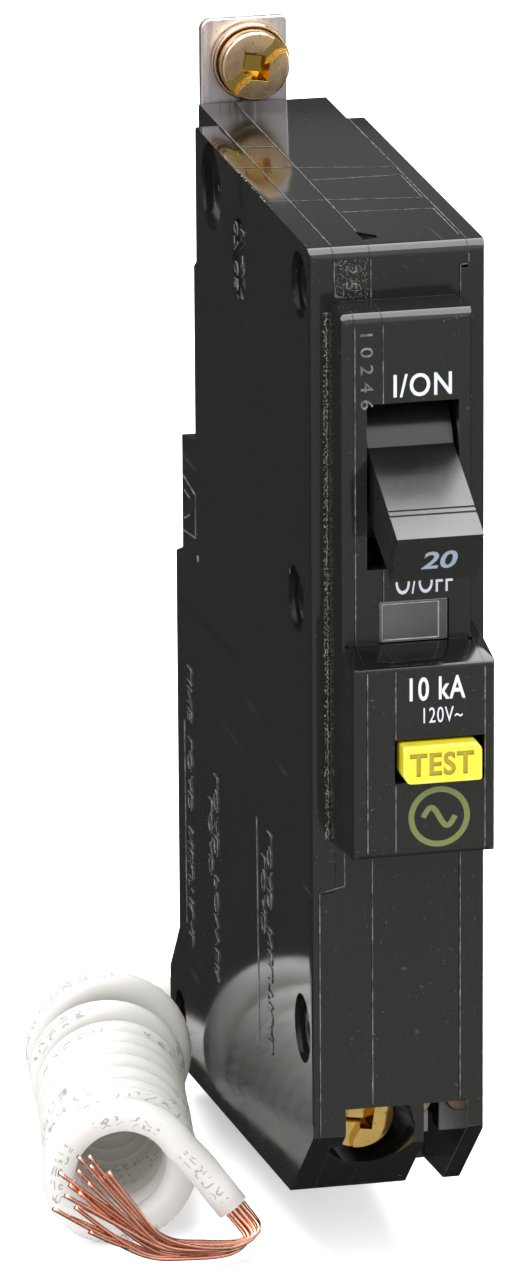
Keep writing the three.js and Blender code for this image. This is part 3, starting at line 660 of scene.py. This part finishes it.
def module_shell():
    low, high = SEAM_LEFT + CRACK, SEAM_CORE - CRACK
    body = slab(CORE_BACK, low, high, case_black)
    room = [(min(y, COVER_BACK - WALL), z) for y, z in MECHANISM_ROOM]
    body = cut(body, prism(room, "x", -9, high - 1.1), prism(LOWER_ROOM, "x", -9, high - 1.1))
    body = fuse(body, prism(nose_outline(), "x", SEAM_NOSE + CRACK, high))
    body = cut(body, prism(NOSE_HOLLOW, "x", -9, 0), rod("x", PIVOT, DRUM_R + 1, SLOT_X[0], 0, 64))
    lip = keep(slab(CORE_BACK, SEAM_LOW + CRACK, low + 0.1),
               block((-9, 0), (-1, WALL), (0, LOW_SEAM_Z - 0.1)))
    body = fuse(body, lip, *bosses([(y, z, 2.6) for y, z, _ in RIVETS], low, high))
    return soften(cut(body, *front_cuts(), *rivet_holes(-12, 0)), 0.13, 2, case_edge_wear_and_highlight)


def mechanism_shell():
    low, high = SEAM_CORE + CRACK, SEAM_RIGHT - CRACK
    body = slab(CORE_BACK, low, high, case_black)
    body = cut(body, prism(MECHANISM_ROOM, "x", -9, 9), prism(LOWER_ROOM, "x", -9, 9))
    behind_cover = ((6.5, high), (COVER_BACK - WALL, CORE_BACK - WALL + 0.1), (49.9, TOP - WALL + 0.1))
    body = fuse(body, block(*behind_cover))
    body = fuse(body, cut(prism(nose_outline(), "x", low, NOSE_RIGHT),
                          corner_tool((NOSE_RIGHT, NOSE_Y), (-1, 1), 0.5, LEDGE_Z + 0.6, NOSE_TOP + 1)))
    body = cut(body, prism(NOSE_HOLLOW, "x", -9, 5.5))
    body = fuse(body, *bosses(BOSSES, low, high))
    panel_slot = block((low - 1, 9), (PANEL_Y - 2, PANEL_Y + 4), BUTTON_SLOT_Z)
    chip = prism([(low - 0.2, 6.8), (-1.2, 4.8), (-1.3, 3.7), (-2.3, 3.2), (low - 0.2, 3.0)], "z",
                 TOP - 0.4, TOP + 1)
    notch = block((6.65 - CRACK, 9), (-0.1, WALL + 0.1), (-2, 106.9))
    return soften(cut(body, *front_cuts(), panel_slot, chip, notch, block((3.4, 9), (-1, 20), (-6, 13.5)),
                      *rivet_holes(-12, 12)), 0.13, 2, case_edge_wear_and_highlight)


def right_shell():
    low = SEAM_RIGHT + CRACK
    body = slab(COVER_BACK, low, HALF, case_black)
    panel = [NOSE_FOOT, *PANEL_CORNERS, (NOSE_Y, LEDGE_Z + 1), (1.2, LEDGE_Z + 1.6)]
    flank = cut(prism(panel, "x", SEAM_FRONT + CRACK, PANEL_RIGHT),
                corner_tool((PANEL_RIGHT, PANEL_Y), (-1, 1), 0.5, PANEL_LOW - 1, LEDGE_Z + 1))
    body = fuse(cut(body, corner_tool((HALF, 0), (-1, 1), 0.8, 5, TOP + 1)),
                block((SEAM_FRONT + CRACK, low + 0.5), (0, WALL), (13.7, 106.6)), flank)
    pads = [rod("x", (y, z), 2.4, HALF - 0.8, HALF + 1, 40) for y, z, _ in RIVETS]
    body = cut(body, *pads, *rivet_holes(0, 12), rod("x", PIVOT, 1.5, 0, HALF - 1.0, 24))
    return soften(body, 0.16, 3, case_edge_wear_and_highlight)


for maker, name, node in [(left_cover, "left_cover_shell", "left_cover"),
                          (module_shell, "module_shell", "module_case"),
                          (mechanism_shell, "mechanism_shell", "mechanism_case"),
                          (right_shell, "right_cover_shell", "right_cover")]:
    settle(maker(), name, "case", [node])


def top_outlines():
    """Fine raised lines the moulding inserts leave on the top."""
    lines = [((-9.3, 36.6), (-7.1, 36.1)), ((-6.8, 36.0), (-3.1, 35.2)), ((-2.85, 35.1), (7.4, 32.8)),
             ((-2.85, 29.2), (7.35, 29.3)), ((7.35, 29.3), (7.3, 19.1)), ((7.3, 19.1), (-2.85, 20.5)),
             ((-3.15, 20.5), (-6.8, 21.0)), ((-7.1, 21.1), (-9.0, 21.3)), ((-2.8, 15.0), (7.3, 14.3)),
             ((7.3, 14.3), (7.3, 3.0)), ((-6.7, 45.5), (-3.2, 44.8))]
    return join_meshes([groove(a, b, 0.13, 0.03, "z", TOP, burr) for a, b in lines])


settle(top_outlines(), "top_outlines", "case")


def seam_burrs():
    """Fine pale burrs that stand along the seams of the four layers."""
    left, nose, low, core, front, right = [
        x + 0.1 for x in (SEAM_LEFT, SEAM_NOSE, SEAM_LOW, SEAM_CORE, SEAM_FRONT, SEAM_RIGHT)]
    above, below, brow = TOP - 1.4, 43.9, NOSE_TOP - 1.3
    faces = [("z", TOP, [((left, 1.5), (left, 55.8)), ((core, 7.0), (core, 66.0)),
                         ((right, 1.5), (right, 55.8))]),
             ("y", 0, [((left, above), (left, 105.5)), ((core, above), (core, NOSE_TOP + 0.3)),
                       ((right, above), (right, 107.1)), ((right, 107.1), (front, 107.0)),
                       ((front, 107.0), (front, NOSE_TOP + 0.6)), ((nose, below), (nose, 39.0)),
                       ((nose, 39.0), (low, 38.4)), ((low, 38.4), (low, CHAMFER[0] + 0.3)),
                       ((core, below), (core, 13.8)), ((front, below), (front, 13.8))]),
             ("y", NOSE_Y, [((nose, brow), (nose, LEDGE_Z + 1.2)), ((core, brow), (core, 94.0)),
                            ((core, 75.7), (core, 72.4))]),
             ("y", PANEL_Y, [((nose, 66), (nose, 46.2)), ((core, 66), (core, 58.7)),
                             ((core, 53.4), (core, 46.2)), ((front, 66), (front, 46.2))])]
    bars = [groove(a, b, 0.11, 0.035, axis, at, burr) for axis, at, lines in faces for a, b in lines]
    square = [(-6.75, 105.4), (-5.85, 105.4), (-5.85, 104.3), (-6.75, 104.3)]
    bars += [groove(a, b, 0.11, 0.04, "y", 0, burr) for a, b in zip(square, square[1:] + square[:1])]
    return join_meshes(bars)


settle(seam_burrs(), "seam_burrs", "case")


def crumb(bm, base, peak):
    """A four-sided crumb of plastic: the corners of its base, and its peak."""
    corners, tip = [bm.verts.new(p) for p in base], bm.verts.new(peak)
    bm.faces.new(corners)
    for a, b in zip(corners, corners[1:] + corners[:1]):
        bm.faces.new((a, b, tip))


def moulding_flash():
    """Crumbs of flash along the foot of the nose, a stippled patch, and chips on the top edge."""
    bm = bmesh.new()
    z = 44.4
    while z < 102.6:
        z += random.uniform(0.06, 0.22)
        for x, chance in ((-7.72, 0.95), (-7.98, 0.45)):
            if random.random() > chance:
                continue
            size = random.uniform(0.03, 0.10)
            x0 = x + random.uniform(-0.09, 0.09)
            tall = random.uniform(0.04, 0.16)
            crumb(bm, [(x0 + dx * size, 0.02, z + dz * tall) for dx, dz in
                       ((-1, -1), (1, -0.7), (0.8, 1), (-0.9, 0.8))], (x0, -random.uniform(0.03, 0.09), z))
    for _ in range(260):                              # the matt stippled patch above the nose
        x, z, r = random.uniform(-6.7, -3.2), random.uniform(103.95, 108.2), random.uniform(0.03, 0.08)
        crumb(bm, [(x + r * math.cos(a), 0.01, z + r * math.sin(a)) for a in (0.3, 1.9, 3.4, 4.9)],
              (x, -r * 0.7, z))
    edge = -HALF + 0.12
    for _ in range(34):                               # chips knocked off the top left edge of the cover
        y, r = random.uniform(2, 34), random.uniform(0.05, 0.17)
        crumb(bm, [(edge + dx * r * 0.7, y + dy * r, TOP - 0.06) for dx, dy in
                   ((-1, -0.6), (0.6, -1), (1, 0.5), (-0.7, 1))], (edge, y, TOP + r * 0.25))
    return solid(bm, flash_look)


flash_look = edge_wear_and_highlight("broken_flash", (0.09, 0.09, 0.07), (0.27, 0.255, 0.2), 0.35, 0.6)
settle(moulding_flash(), "moulding_flash", "case")


# ---- Lettering and marks -----------------------------------------------------
def letters(text, look, depth=0.03, slant=0.0, weight=0.0, spread=1.0):
    """Flat letters in x and z, standing depth proud towards -y, from the built-in typeface."""
    data = bpy.data.curves.new("letters", "FONT")
    data.body, data.extrude, data.shear, data.offset = text, depth / 2, slant, weight
    data.resolution_u, data.space_character = 6, spread
    text_object = bpy.data.objects.new("letters", data)
    scene.collection.objects.link(text_object)
    obj = bpy.data.objects.new("letters", bpy.data.meshes.new_from_object(text_object.evaluated_get(
        bpy.context.evaluated_depsgraph_get())))
    bpy.data.objects.remove(text_object)
    scene.collection.objects.link(obj)
    obj.data.materials.clear()
    obj.data.materials.append(look.mat)
    bm = bmesh.new()
    bm.from_mesh(obj.data)
    bmesh.ops.remove_doubles(bm, verts=bm.verts, dist=1e-5)
    bm.to_mesh(obj.data)
    bm.free()
    obj.data.transform(Matrix.Rotation(math.pi / 2, 4, "X"))
    return obj


def fitted(obj, x, z, y, depth):
    """Scales flat letters to fill an x and a z range, with their back at y."""
    low, high = [Vector(f(v.co[k] for v in obj.data.vertices) for k in range(3)) for f in (min, max)]
    scale = [(x[1] - x[0]) / (high.x - low.x), depth / (high.y - low.y), (z[1] - z[0]) / (high.z - low.z)]
    start = [x[0], y - depth, z[0]]
    for v in obj.data.vertices:
        v.co = [start[k] + (v.co[k] - low[k]) * scale[k] for k in range(3)]
    return obj


INK = 0.03
for text, name, x, z, y, heavy in [("I/ON", "mark_on", (-1.8, 4.5), (94.5, 97.0), NOSE_Y, 0.012),
                                   ("O/OFF", "mark_off", (-1.6, 4.6), (72.9, 75.35), NOSE_Y, 0.008),
                                   ("10 kA", "mark_rating", (-1.4, 4.65), (62.7, 65.3), PANEL_Y, 0.016),
                                   ("120V~", "mark_voltage", (0.1, 4.35), (60.2, 61.9), PANEL_Y, 0.0)]:
    settle(fitted(letters(text, white_ink, weight=heavy, spread=1.1), x, z, y, INK), name, "case")


def round_mark():
    """A plain ring round one wave, for alternating current."""
    centre = (1.8, 49.75)
    ring = prism(arc(centre, 3.35, 0, 354, 59), "y", PANEL_Y - INK, PANEL_Y + 0.02, olive_ink)
    ring = cut(ring, prism(arc(centre, 2.72, 0, 354, 59), "y", PANEL_Y - 1, PANEL_Y + 1))
    wave = [(centre[0] - 1.75 + 3.5 * t, centre[1] + 1.05 * math.sin(2 * math.pi * t)) for t in
            [i / 24 for i in range(25)]]
    half_stroke = 0.3
    above, below = [], []
    for i, (x, z) in enumerate(wave):
        a, b = Vector(wave[max(i - 1, 0)]), Vector(wave[min(i + 1, len(wave) - 1)])
        run = (b - a).normalized() * half_stroke
        above.append((x - run.y, z + run.x))
        below.append((x + run.y, z - run.x))
    return join_meshes([ring, prism(above + below[::-1], "y", PANEL_Y - INK, PANEL_Y + 0.02, olive_ink)])


settle(round_mark(), "round_mark", "case")


def on_side(text, y, z_low, z_high, wide):
    """Raised letters on the left cover, read from top to bottom."""
    obj = fitted(letters(text, case_black), (0, z_high - z_low), (0, wide), 0, 0.16)
    obj.data.transform(Matrix(((0, 1, 0, -HALF + 0.01), (0, 0, 1, y), (-1, 0, 0, z_high), (0, 0, 0, 1))))
    return obj


raised = [on_side(*words) for words in [
    ("LINE  LOAD  NEUTRAL", 60.4, 12.0, 45.2, 2.3), ("LOAD  POWER", 46.9, 12.2, 36.6, 2.1),
    ("LOAD", 49.8, 24.0, 33.0, 1.9), ("LOAD  NEUTRAL", 19.6, 13.2, 38.6, 2.1),
    ("LOAD", 22.8, 26.0, 35.0, 1.9), ("07 05", 34.4, 96.2, 103.8, 1.9), ("1 4", 31.4, 98.6, 103.6, 1.7)]]
# the sides of the raised letters take the pale edge colour: a painted highlight on their relief
for side_text in raised:
    side_text.data.materials.append(case_edge_wear_and_highlight.mat)
    for polygon in side_text.data.polygons:
        polygon.material_index = 1 if abs(polygon.normal.x) < 0.9 else 0
settle(join_meshes(raised), "side_lettering", "case")


def side_ridges():
    """Raised outlines on the left cover: the label frame with its dot, and the two wiring leaders."""
    label = [(64.2, 67.2), (57.6, 66.6), (57.6, 61.6), (64.2, 60.7)]
    leaders = [((63.4, 65.6), (60.6, 65.4)), ((63.2, 62.4), (60.8, 63.4)), ((27.0, 38.4), (26.3, 12.6)),
               ((64.4, 38.0), (64.0, 14.0))]
    # the ridges and dots are all in the pale edge colour: a painted highlight on the relief
    bars = [groove(a, b, 0.16, 0.07, "x", -HALF, case_edge_wear_and_highlight) for a, b in list(zip(label, label[1:])) + leaders]
    dots = [turned("x", place, [(0, -HALF - 0.1), (shoulder, -HALF - 0.06), (r, -HALF), (0, -HALF)],
                   sides, case_edge_wear_and_highlight) for place, r, shoulder, sides in
            [((56.5, 59.5), 0.4, 0.32, 20), ((9.9, 71.6), 0.3, 0.25, 16)]]
    return join_meshes(bars + dots)


settle(side_ridges(), "side_ridges", "case")


def code_on_strip():
    """Stamped digits down the narrow strip beside the handle, and fainter ones on the shoulder above."""
    # the digits are in the pale edge colour: wear and a painted highlight on the stamped relief
    column = fitted(letters("1 0 2 4 6", case_edge_wear_and_highlight), (0, 8.2), (0, 1.35), 0, 0.06)
    column.data.transform(Matrix(((0, 0, 1, -5.35), (0, 1, 0, NOSE_Y), (-1, 0, 0, 101.6), (0, 0, 0, 1))))
    upper = fitted(letters("2 5", case_edge_wear_and_highlight), (0, 2.6), (0, 1.2), 0, 0.05)
    upper.data.transform(Matrix(((0, 0, 1, -5.6), (0, 1, 0, 0), (-1, 0, 0, 107.6), (0, 0, 0, 1))))
    return join_meshes([column, upper])


settle(code_on_strip(), "stamped_digits", "case")


# ---- Handle ------------------------------------------------------------------
def handle():
    drum = rod("x", PIVOT, DRUM_R, *HANDLE_X, 128, handle_black)
    bend = (-11, 85.65)
    lever = prism([(-4.2, 88.8), bend, LEVER_TOP, LEVER_TIP, (-3.4, 82.0), (0, 84), (0, 88)], "x", *HANDLE_X)
    slope = (Vector(LEVER_TOP) - Vector(bend)).normalized()
    lines = [rod("x", Vector(bend) + slope * along, 0.2, HANDLE_X[0] - 1, HANDLE_X[1] + 1, 12)
             for along in (2.8, 3.6)]
    body = cut(fuse(drum, lever), *lines, rod("x", PIVOT, 1.4, -9, 9, 24))
    return soften(body, 0.22, 4, handle_edge, 32)


settle(handle(), "handle_lever", "handle", ["handle"])


def handle_rating():
    """The current rating on the sloping front face of the lever."""
    obj = fitted(letters("20", grey_ink, slant=0.1, weight=0.02), (-1.3, 2.5), (1.6, 4.05), 0, INK)
    low = Vector(LEVER_TIP)
    up = (Vector(LEVER_TOP) - low).normalized()
    obj.data.transform(Matrix(((1, 0, 0, 0), (0, up.y, up.x, low.x), (0, -up.x, up.y, low.y), (0, 0, 0, 1))))
    return obj


settle(handle_rating(), "handle_rating", "handle")


# ---- Window, button ----------------------------------------------------------
def window_lens():
    (left, right), (low, high), slack = WINDOW_X, WINDOW_Z, 0.12
    left, right = left + slack, right - slack
    plate = block((left, right), (NOSE_Y + 0.3, NOSE_Y + 1.15), (low + slack, high - slack), lens_grey)
    pane = block((left + 0.3, right - 0.95), (NOSE_Y, NOSE_Y + 0.42), (low + 0.35, high - 0.42))
    return soften(cut(plate, pane), 0.07, 2, lens_rim_highlight)


# the pale round on the lens frame is a painted highlight, broken up in stretches
lens_rim_highlight = edge_wear_and_highlight("lens_rim_highlight", (0.2, 0.2, 0.2), (0.42, 0.42, 0.43), 0.3, 0.6)
settle(window_lens(), "window_lens", "case", ["indicator_lens"])


def button():
    cap = [(-2.45, 58.2), (-2.45, 54.85), (-1.85, 53.95), (6.15, 53.95), (6.15, 57.5), (5.55, 58.2)]
    body = soften(prism(cap, "y", BUTTON_FRONT, PANEL_Y + 1.8, yellow), 0.3, 4, yellow_edge, 20)
    # the engraved letters take a darker copy of the yellow: painted shade in the engraving
    word = fitted(letters("TEST", yellow_letter_shade, weight=0.03, spread=1.1), (-1.75, 5.2), (54.8, 57.4),
                  BUTTON_FRONT + 0.16, 0.6)
    body = cut(body, word, transfer=True)
    return fuse(body, block((0.4, 3.4), (PANEL_Y + 1, -3.4), (55, 57.2)))


test_button = button()
test_button.data.shade_flat()
settle(test_button, "test_button_cap", "test_button", ["test_button"])


# ---- Line terminal -----------------------------------------------------------
def line_tab():
    (left, right), high = TAB_X, 118.9
    plate = prism([(left, TAB_FOOT), (right, TAB_FOOT), (right, high - 0.3), (right - 0.3, high),
                   *arc((left + 1.2, high - 1.2), 1.2, 90, 180, 6)], "y", *TAB_Y, tin)
    plate = fuse(plate, block((-2.3, right), (47, TAB_Y[1]), (TAB_FOOT, TAB_FOOT + 1.5)))
    return soften(cut(plate, rod("y", LINE_SCREW, 2.3, 60, 70)), 0.16, 3, tin)


def screw_head(centre, r, face, thick, shank, tip, turn, look):
    """A clamp screw: domed rim, square recess, and a wide slot with rounded shoulders across it; the recess
    and slot take the darker brass as painted shade.
    """
    x, z = centre
    rim = 0.35
    back = face + thick
    dome = [(r - rim + rim * math.sin(a), face + rim - rim * math.cos(a)) for a in
            [math.radians(18 * k) for k in range(1, 6)]]
    profile = [(0, face), (r - rim, face), *dome, (r, back - 0.1), (r - 0.1, back), (shank, back),
               (shank, tip - 0.5), (shank - 0.5, tip), (0, tip)]
    head = turned("y", centre, profile, 72, look)
    square = turned("y", (0, 0), [(0, -1), (2.5, -1), (2.2, 0), (1.25, 1.75), (0, 1.75)], 4, brass_recess_shade)
    square.data.transform(Matrix.Translation((x, face, z)) @ Matrix.Rotation(math.radians(53), 4, "Y"))
    flank = [(-r - 1, 1.5), (-r, 1.15), (-2.9, 0.7), (-1.5, 0.75), (1.5, 0.75), (2.9, 0.7), (r, 1.15),
             (r + 1, 1.5)]
    wide = prism([(a, -b) for a, b in flank] + flank[::-1], "y", -1, 1.0, brass_recess_shade)
    wide.data.transform(Matrix.Translation((x, face, z)) @ Matrix.Rotation(math.radians(turn), 4, "Y"))
    return soften(cut(head, square, wide, transfer=True), 0.12, 3, None, 34)


def cup_washer():
    cup = [(2.25, 66.35), (4.3, 66.35), (4.4, 66.1), (4.4, 65.2), (4.25, 64.95), (4.05, 64.95), (3.9, 65.2),
           (3.8, 65.75), (2.25, 65.75), (2.25, 66.35)]
    return soften(turned("y", LINE_SCREW, cup, 72, brass), 0.06, 2)


def return_screw():
    """The second load screw, seen edge on: a plain shank and a narrow slot."""
    pin = turned("y", RETURN_SCREW, [(0, 13.0), (1.35, 13.0), (1.55, 13.2), (1.55, 15.2), (1.0, 15.2),
                                     (1.0, 19.2), (0, 19.2)], 32, brass)
    return soften(cut(pin, block((3, 7.7), (12, 13.6), (8.7, 9.3))), 0.08, 2, None, 34)


settle(line_tab(), "line_tab_plate", "case", ["line_terminal_strap"])
settle(screw_head(LINE_SCREW, 3.9, 62.7, 1.9, 1.9, 74, -40, brass), "line_clamp_screw",
       "line_screw", ["line_screw"])
settle(cup_washer(), "line_cup_washer", "case", ["line_screw_washer"])
# the power screw sits inside the load bore and takes the brass with painted shade throughout
settle(screw_head(BORE[:2], 4.0, 7.4, 2.0, 1.9, 18.8, -62, brass_recess_shade), "power_screw",
       "load_power_screw", ["load_power_screw"])
settle(return_screw(), "return_screw", "load_return_screw", ["load_return_screw"])


# ---- Rivets, clip, and the CAD nodes that keep their own shape ---------------
for number, (y, z, pocket) in enumerate(RIVETS, 1):
    head = min(pocket - 0.8, 2.8)
    rolled = [(r, -HALF + depth) for r, depth in [
        (0, 1.6), (0.55, 1.6), (0.6, 0.95), (head * 0.55, 0.7), (head - 0.12, 0.85), (head, 1.1),
        (head - 0.1, 1.25), (1.1, 1.25)]]
    flat = [(r, HALF - depth) for r, depth in [(1.1, 0.75), (2.0, 0.75), (2.0, 0.3), (0.9, 0.25), (0, 0.3)]]
    # the rivets take the near-black metal, a painted shade in their pockets
    rivet = turned("x", (y, z), rolled + flat, 40, rivet_shade_dark)
    settle(soften(rivet, 0.05, 2, None, 30), f"rivet_{number}", "case", [f"case_rivet_{number}"])

hook = [(68.5, 40), (69.3, 40), (69.3, 14.2), (75, 11), (76.5, 13.5), (77.2, 13.1), (75.3, 9.9), (68.5, 13.4)]
clip = cut(prism(hook, "x", -1, 5, steel), rod("y", (2, 34), 1.1, 60, 80),
           prism([(68.9, 16), (69.5, 16), (69.5, 30), (68.9, 30)], "x", 0.6, 3.4))
settle(soften(clip, 0.14, 3), "rail_clip", "case", ["mounting_clip"])

KEPT = {"steel": steel, "tin": tin, "brass": brass, "copper": copper, "silver": silver, "fibre": card,
        "board": board, "component": coat, "chip_black": rubber, "flag_red": red}
for part in frame["record"]["subparts"]:
    node = frame["nodes"][part["node"]]
    if node.hide_render:
        continue
    node.data.materials.clear()
    node.data.materials.append(KEPT[part["material_slot"]].mat)


# ---- Floor, light ------------------------------------------------------------
def floor():
    bm = bmesh.new()
    bmesh.ops.create_grid(bm, x_segments=8, y_segments=8, size=4000)
    look = Look("pale_floor", (0.86, 0.86, 0.86), roughness=0.9)
    look.set("Emission Color", (1, 1, 1, 1)).set("Emission Strength", 0.4)
    obj = solid(bm, look)
    obj.data.transform(TO_FRAME @ Matrix.Translation((0, 0, FLOOR_Z - 0.02)))
    obj.name = "floor"
    obj.visible_glossy = False


def softbox(name, place, aim, size, watts):
    data = bpy.data.lights.new(name, "AREA")
    data.shape, data.size, data.size_y, data.energy = "RECTANGLE", size[0], size[1], watts
    light = bpy.data.objects.new(name, data)
    light.location = place
    light.rotation_mode = "QUATERNION"
    light.rotation_quaternion = (Vector(aim) - Vector(place)).to_track_quat("-Z", "Y")
    scene.collection.objects.link(light)


def sky():
    """Soft studio surroundings: pale in front and below it, grey behind, dark low down behind."""
    world = bpy.data.worlds.new("studio")
    scene.world = world
    world.use_nodes = True
    tree = world.node_tree

    def step(value, low, high, start, end):
        return add_node(tree, "MapRange", {0: value, 1: low, 2: high, 3: start, 4: end},
                        interpolation_type="SMOOTHSTEP").outputs[0]

    where = add_node(tree, "TexCoord", {}).outputs["Generated"]
    _, depth, height = add_node(tree, "SeparateXYZ", {0: where}).outputs
    front = step(depth, -0.5, 0.4, 1.0, 0.0)
    behind = step(height, -0.12, 0.22, 0.045, 0.2)
    level = add_node(tree, "Mix", {0: front, 2: behind, 3: 0.62}).outputs[0]
    below = step(height, -0.85, -0.4, 0.3, 1)
    dimmed = add_node(tree, "Math", {0: level, 1: below}, operation="MULTIPLY").outputs[0]
    above = step(height, 0.05, 0.5, 0, 0.8)
    strength = add_node(tree, "Math", {0: front, 1: above, 2: dimmed}, operation="MULTIPLY_ADD").outputs[0]
    ground = tree.nodes["Background"]
    feed(tree, ground.inputs["Color"], (1, 1, 1, 1))
    feed(tree, ground.inputs["Strength"], strength)


floor()
sky()
middle = (0, -0.03, -0.05)
softbox("overhead", (0, 0.14, 0.85), (0, 0.14, 0), (1.2, 1.5), 32)
softbox("key", (-0.7, -0.9, 0.7), middle, (0.8, 0.8), 7)
softbox("rim", (0.9, 0.1, 0.2), middle, (0.3, 0.9), 5)
